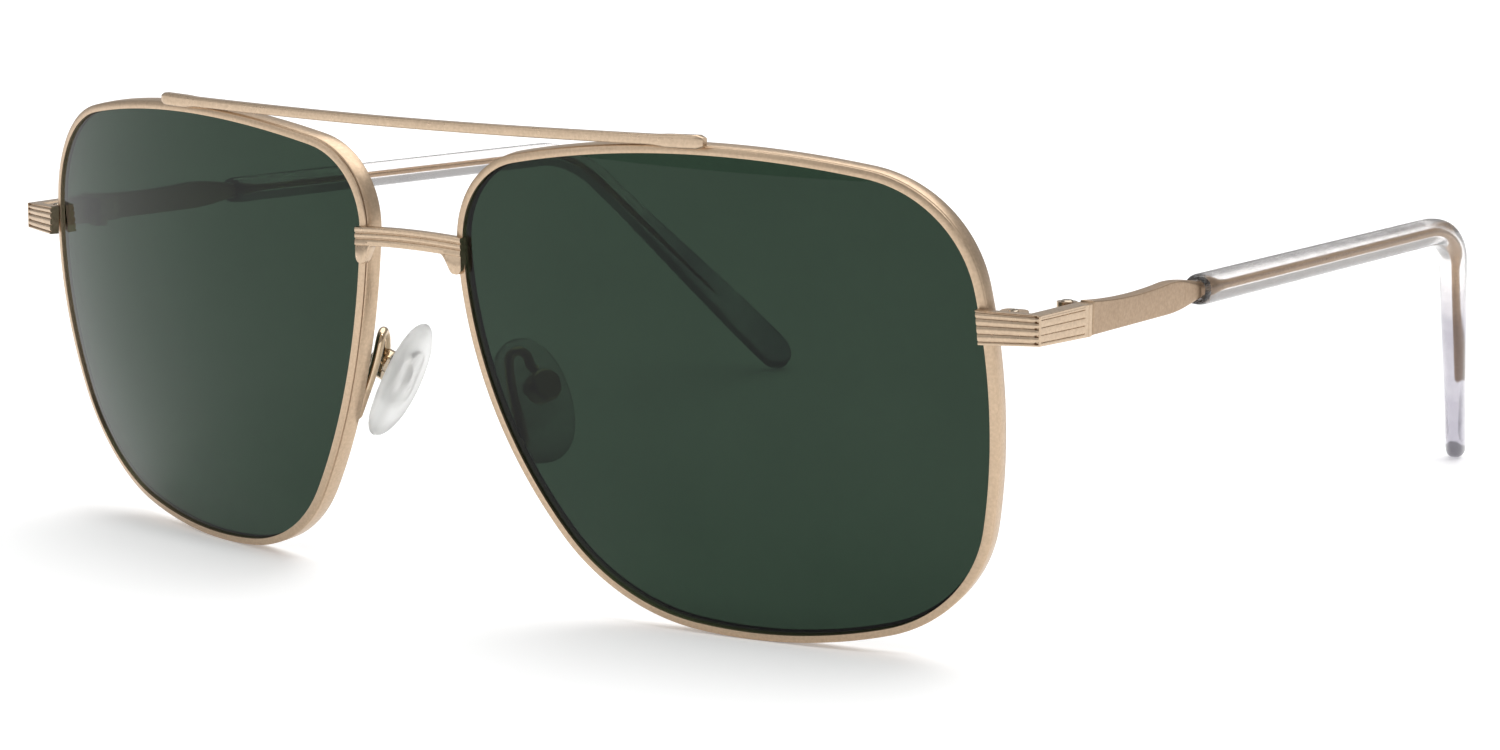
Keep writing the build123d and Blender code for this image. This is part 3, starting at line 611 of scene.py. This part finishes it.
# --- Temple route: straight back from the hinge joint, round one bend, and down to the tip's end ----
TEMPLE_MIDDLE = 34.15
BLADE_HALF_THICKNESS = 0.7
JOINT = np.array([END_JOINT[0] - BLADE_HALF_THICKNESS, END_JOINT[1], TEMPLE_MIDDLE])
TEMPLE_IN = radians(1.3)
BACKWARD = np.array([-sin(TEMPLE_IN), cos(TEMPLE_IN), 0])
OUTWARD = np.array([cos(TEMPLE_IN), sin(TEMPLE_IN), 0])
TIP_ROLL = radians(20.4)
TIP_UP = np.cross(OUTWARD * cos(TIP_ROLL) - np.array([0, 0, sin(TIP_ROLL)]), BACKWARD)
BEND_POSITION = 86.9
BEND_ANGLE = radians(46)
BEND_RADIUS = 16.0
BEND_TANGENT = BEND_RADIUS * tan(BEND_ANGLE / 2)
BEND_START = BEND_POSITION - BEND_TANGENT
BEND_ARC = BEND_RADIUS * BEND_ANGLE
BEND_END = BEND_START + BEND_ARC


def route(along):
    """Point and direction on the temple's centreline at a distance from the hinge joint."""
    if along <= BEND_START:
        return JOINT + BACKWARD * along, BACKWARD
    turn = min(1.0, (along - BEND_START) / BEND_ARC) * BEND_ANGLE
    direction = BACKWARD * cos(turn) - TIP_UP * sin(turn)
    place = JOINT + BACKWARD * (BEND_START + BEND_RADIUS * sin(turn)) - TIP_UP * BEND_RADIUS * (1 - cos(turn))
    return place + direction * max(0.0, along - BEND_END), direction


def upright_ring(along, section, lift=0.0):
    """A section whose height stays in the vertical plane through the route's direction."""
    place, direction = route(along)
    up = np.array([0, 0, 1]) - direction * direction[2]
    up = up / np.linalg.norm(up)
    across = np.cross(up, direction)
    return [place + across * -x + up * (z + lift) for x, z in section]


# --- Temple: blade, neck and core wire as one skin -------------------------------------------------
BLADE_START = 0.06
BLADE_STRAIGHT = 15.5
BLADE_HALF_HEIGHT = 1.65
BLADE_TAPER = 0.1
BLADE_DIP = 0.35
BLADE_SWELL = 0.55
BLADE_EDGE = 0.14
NECK = 22.8
NECK_HALF_HEIGHT = 0.85
CORE_RADIUS = 0.32
CORE_THICKER = 2.2
CORE_THINNER = 0.7
CORE_DROP = 32.5
CORE_END = BEND_END + CORE_DROP - BEND_TANGENT
CORE_SHIFT = 0.5


def blade_ring(along):
    """Section of the flat blade and its neck, hollow along the top edge."""
    reach = min(1.0, along / BLADE_STRAIGHT)
    past = max(0.0, (along - BLADE_STRAIGHT) / (NECK - BLADE_STRAIGHT))
    narrowing = (BLADE_HALF_HEIGHT - BLADE_TAPER - NECK_HALF_HEIGHT) * past**1.5
    bottom = -BLADE_HALF_HEIGHT + BLADE_TAPER * reach + narrowing
    hollow = BLADE_DIP * 4 * reach * (1 - reach) - BLADE_SWELL * past * (1 - past)
    top = BLADE_HALF_HEIGHT - BLADE_TAPER * reach - hollow - narrowing
    inset = 0.04 if along == BLADE_START else 0.0
    radius = mix(BLADE_EDGE, BLADE_HALF_THICKNESS - 0.1, smoothstep(past, 0.2, 1.0))
    section = rounded_box(BLADE_HALF_THICKNESS - inset, (top - bottom) / 2 - inset, radius)
    return upright_ring(along, section, (top + bottom) / 2)


def core_ring(along):
    """Section of the core wire, thicker at the neck, thinner in the drop, and nearer the outside there."""
    neck = mix(CORE_THICKER, 1.0, smoothstep(along, NECK, NECK + 5))
    taper = mix(neck, CORE_THINNER, smoothstep(along, CORE_END - 22, CORE_END - 2))
    rounding = sqrt(max(0.02, min(1.0, (CORE_END + 0.02 - along) / 1.5)))
    radius = CORE_RADIUS * taper * rounding
    aside = CORE_SHIFT * smoothstep(along, BEND_START, BEND_END)
    return upright_ring(along, [(x + aside, z) for x, z in superellipse(radius, radius, 2.0)])


def make_temple(name, side):
    blade = [BLADE_START, BLADE_START + 0.05, *np.linspace(0.4, NECK, 44)]
    core = [*np.linspace(NECK + 1.0, CORE_END - 1.5, 70), CORE_END - 0.8, CORE_END - 0.3, CORE_END]
    points, faces = loft([blade_ring(along) for along in blade] + [core_ring(along) for along in core])
    body = f"temple_{name}"
    new_piece(f"temple_blade_{name}", points, faces, body, side, "temple_gold", [body], sharp=50)


# --- Clear tip: a round bar with an open mouth, widening to a paddle ---------------------------------
TIP_START = 22.4
TIP_DROP = 49.4
TIP_END = BEND_END + TIP_DROP - BEND_TANGENT
TIP_LENGTH = TIP_END - TIP_START
TIP_SHIFT = 0.3
TIP_POWER = 2.5
TIP_HALF_HEIGHT = 1.58
PADDLE_HALF_HEIGHT = 2.5
TIP_HALF_THICKNESS = 1.45
DROP_HALF_THICKNESS = 1.62
PADDLE_THINNING = 0.32
MOUTH_DEPTH = 1.3
MOUTH_SHARE = 0.78


def make_tip(name, side):
    rings = [
        upright_ring(TIP_START + MOUTH_DEPTH, superellipse(0.30, 0.30, 2.0)),
        upright_ring(TIP_START + MOUTH_DEPTH, superellipse(0.95, 0.95, 2.0)),
        upright_ring(TIP_START + 0.25, superellipse(1.02, 1.10, 2.0)),
        upright_ring(TIP_START + 0.05, superellipse(1.08, 1.18, 2.2)),
    ]
    stations = [0.0, 0.12, 0.3, 0.6, 1.0, 1.6, *np.linspace(2.4, TIP_LENGTH - 4.0, 90)]
    stations += [TIP_LENGTH - back for back in (3.2, 2.4, 1.8, 1.2, 0.8, 0.45, 0.2, 0.06, 0.0)]
    for offset in stations:
        along = TIP_START + offset
        bent = smoothstep(along, BEND_START, BEND_END)
        drop = smoothstep(along, BEND_END, TIP_END - 6)
        half_height = mix(TIP_HALF_HEIGHT, PADDLE_HALF_HEIGHT, drop)
        half_thickness = mix(TIP_HALF_THICKNESS, DROP_HALF_THICKNESS, bent) - PADDLE_THINNING * drop
        mouth = mix(MOUTH_SHARE, 1.0, sqrt(max(0.0, 1 - (1 - min(1.0, offset / 1.4)) ** 2)))
        left = max(0.0, TIP_END - along)
        height_end = sqrt(max(0.004, 1 - max(0.0, 1 - left / 3.2) ** 2))
        thickness_end = sqrt(max(0.004, 1 - max(0.0, 1 - left / 1.3) ** 2))
        half_thickness *= mouth * thickness_end
        half_height *= mouth * height_end
        section = superellipse(half_thickness, half_height, TIP_POWER)
        rings.append(upright_ring(along, [(x + TIP_SHIFT * bent, z) for x, z in section]))
    points, faces = loft(rings)
    replaced = [f"temple_tip_{name}"]
    new_piece(f"tip_acetate_{name}", points, faces, f"temple_{name}", side, "clear_tip", replaced, sharp=60)


# --- Nose pad: a soft lens shape, slightly cupped, and narrower at the top ---------------------------
PAD_CENTRE = np.array([9.2, 6.1, 21.15])
PAD_SPLAY = radians(18.5)
PAD_FLARE = radians(24.0)
PAD_ACROSS = np.array([-sin(PAD_SPLAY), -cos(PAD_SPLAY), 0])
PAD_NORMAL = np.array([-cos(PAD_SPLAY) * cos(PAD_FLARE), sin(PAD_SPLAY) * cos(PAD_FLARE), -sin(PAD_FLARE)])
PAD_UP = np.cross(PAD_NORMAL, PAD_ACROSS)
PAD_HALF_WIDTH = 4.65
PAD_HALF_LENGTH = 6.65
PAD_HALF_THICKNESS = 1.1
PAD_NARROWING = 0.07
PAD_CUP = 0.15
PAD_POWER = 2.15
PAD_LEVELS = 25


def make_pad(name, side):
    rings = []
    for step in range(PAD_LEVELS):
        angle = pi * (step / (PAD_LEVELS - 1) - 0.5)
        reach = max(0.02, cos(angle)) ** 0.45
        level = PAD_HALF_THICKNESS * sin(angle)
        ring = []
        for x, y in superellipse(PAD_HALF_WIDTH * reach, PAD_HALF_LENGTH * reach, PAD_POWER, 56):
            share = y / PAD_HALF_LENGTH
            across = PAD_ACROSS * x * (1 - PAD_NARROWING * share)
            ring.append(PAD_CENTRE + across + PAD_UP * y + PAD_NORMAL * (level - PAD_CUP * share**2))
        rings.append(ring)
    points, faces = loft(rings)
    body = f"nose_pad_{name}"
    new_piece(f"pad_silicone_{name}", points, faces, body, side, "silicone", [body], sharp=70)


# --- Pad arm: a bent wire with a matt foot along the back of the rim ---------------------------------
ARM_ROUTE = (
    (11.95, 1.8, 17.2), (11.55, 2.0, 18.4), (11.0, 2.15, 19.8), (10.0, 2.35, 22.2), (9.35, 2.55, 24.4),
    (9.1, 2.85, 26.1), (9.5, 3.7, 26.7), (9.95, 4.5, 26.1), (10.15, 4.75, 25.2), (10.4, 5.05, 24.75),
    (10.7, 5.3, 24.6),
)
ARM_RADIUS = 0.5
ARM_SIDES = 24
FOOT_RINGS = 24
FOOT_THICKER = 1.15


def smooth_path(points, steps):
    """Catmull-Rom curve through points."""
    points = [np.array(point, float) for point in points]
    padded = [2 * points[0] - points[1], *points, 2 * points[-1] - points[-2]]
    path = []
    for a, b, c, d in zip(padded, padded[1:], padded[2:], padded[3:]):
        for step in range(steps):
            t = step / steps
            bent = (2 * a - 5 * b + 4 * c - d) * t**2 + (3 * b - a - 3 * c + d) * t**3
            path.append(0.5 * (2 * b + (c - a) * t + bent))
    return path + [points[-1]]


def tube_rings(path, radius_at, count):
    """Rings round a path, turned as little as possible from one to the next."""
    rings = []
    across = np.cross(path[1] - path[0], [0, 1, 0])
    for index, place in enumerate(path):
        direction = path[min(index + 1, len(path) - 1)] - path[max(index - 1, 0)]
        direction = direction / np.linalg.norm(direction)
        across = across - direction * (across @ direction)
        across = across / np.linalg.norm(across)
        other = np.cross(direction, across)
        radius = radius_at(index / (len(path) - 1))
        angles = [2 * pi * step / count for step in range(count)]
        rings.append([place + radius * (across * cos(angle) + other * sin(angle)) for angle in angles])
    return rings


def arm_radius(share):
    """Radius of the wire at a share of its length: rounded at its very end, and thicker in the foot."""
    rounded = mix(0.5, 1.0, smoothstep(share, 0.0, 0.05))
    return ARM_RADIUS * rounded * mix(FOOT_THICKER, 1.0, smoothstep(share, 0.12, 0.34))


def make_arm(name, side):
    points, faces = loft(tube_rings(smooth_path(ARM_ROUTE, 10), arm_radius, ARM_SIDES))
    replaced = [f"pad_arm_{name}"]
    arm = new_piece(f"arm_wire_{name}", points, faces, "front", side, "arm_gold", replaced, sharp=60)
    arm.data.materials.append(MATERIALS["rim_gold"])
    for face in range(FOOT_RINGS * ARM_SIDES):
        arm.data.polygons[face].material_index = 1


for name, side in SIDES.items():
    make_lens(name, side)
    make_rim(name, side)
    make_end_piece(name, side)
    make_temple(name, side)
    make_tip(name, side)
    make_pad(name, side)
    make_arm(name, side)
make_brow_bar()
make_bridge()

# --- Floor ----------------------------------------------------------------------------------------
# Pale paper with a slight glow of its own, which keeps the shadows light. Its size is in metres.
FLOOR_HALF = 6.0
FLOOR_GLOW = 0.22

paper = paint("paper", 30, (0.90, 0.90, 0.90), (0.91, 0.91, 0.91), 0.9)
paper_shader = paper.node_tree.nodes["Principled BSDF"]
paper_shader.inputs["Emission Color"].default_value = (1, 1, 1, 1)
paper_shader.inputs["Emission Strength"].default_value = FLOOR_GLOW
floor_mesh = bpy.data.meshes.new("floor")
floor_corners = [(FLOOR_HALF * x, FLOOR_HALF * y, 0) for x, y in ((-1, -1), (1, -1), (1, 1), (-1, 1))]
floor_mesh.from_pydata(floor_corners, [], [(0, 1, 2, 3)])
floor_mesh.materials.append(paper)
floor = bpy.data.objects.new("floor", floor_mesh)
bpy.context.scene.collection.objects.link(floor)
floor.location.z = min(0.0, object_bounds()[0].z)

# --- Light -----------------------------------------------------------------------------------------
WORLD_STRENGTH = 0.42

scene = bpy.context.scene
scene.view_settings.view_transform = "Standard"
scene.world = bpy.data.worlds.new("studio")
scene.world.use_nodes = True
sky = scene.world.node_tree.nodes["Background"]
sky.inputs["Color"].default_value = (1.0, 1.0, 1.0, 1)
sky.inputs["Strength"].default_value = WORLD_STRENGTH


def towards(azimuth, elevation):
    """Unit vector from the object towards a light or camera, from angles in degrees."""
    a, e = radians(azimuth), radians(elevation)
    return Vector((sin(a) * cos(e), -cos(a) * cos(e), sin(e)))


def sun(name, azimuth, elevation, strength, spread_angle):
    """A soft light from a direction in degrees: azimuth 0 is the front, and 90 the wearer's left."""
    lamp = bpy.data.lights.new(name, "SUN")
    lamp.energy = strength
    lamp.angle = radians(spread_angle)
    holder = bpy.data.objects.new(name, lamp)
    scene.collection.objects.link(holder)
    holder.rotation_euler = towards(azimuth, elevation).to_track_quat("Z", "Y").to_euler()


sun("top_light", 180, 75, 2.0, 70)
sun("front_light", -30, 30, 0.35, 50)
sun("streak_light", 75, 50, 0.5, 10)

# --- Camera: level but for a slight roll, with the framing set by the shift ---------------------------
CAMERA_AZIMUTH = 35.06
CAMERA_ELEVATION = 10.14
CAMERA_ROLL = radians(0.58)
CAMERA_PLACE = Vector((218.9, -242.0, 80.1)) * MM
CAMERA_LENS = 76.68
CAMERA_SENSOR = 36.0
CAMERA_SHIFT = (-0.0453, 0.0113)
CAMERA_NEAR = 0.01

back = towards(CAMERA_AZIMUTH, CAMERA_ELEVATION)
level = Vector((0, 0, 1)).cross(back).normalized()
upright = back.cross(level)
right = level * cos(CAMERA_ROLL) + upright * sin(CAMERA_ROLL)
up = upright * cos(CAMERA_ROLL) - level * sin(CAMERA_ROLL)
view = bpy.data.cameras.new("camera")
view.lens = CAMERA_LENS
view.sensor_width = CAMERA_SENSOR
view.shift_x, view.shift_y = CAMERA_SHIFT
view.clip_start = CAMERA_NEAR
camera = bpy.data.objects.new("camera", view)
scene.collection.objects.link(camera)
camera.matrix_world = Matrix.Translation(CAMERA_PLACE) @ Matrix((right, up, back)).transposed().to_4x4()
scene.camera = camera
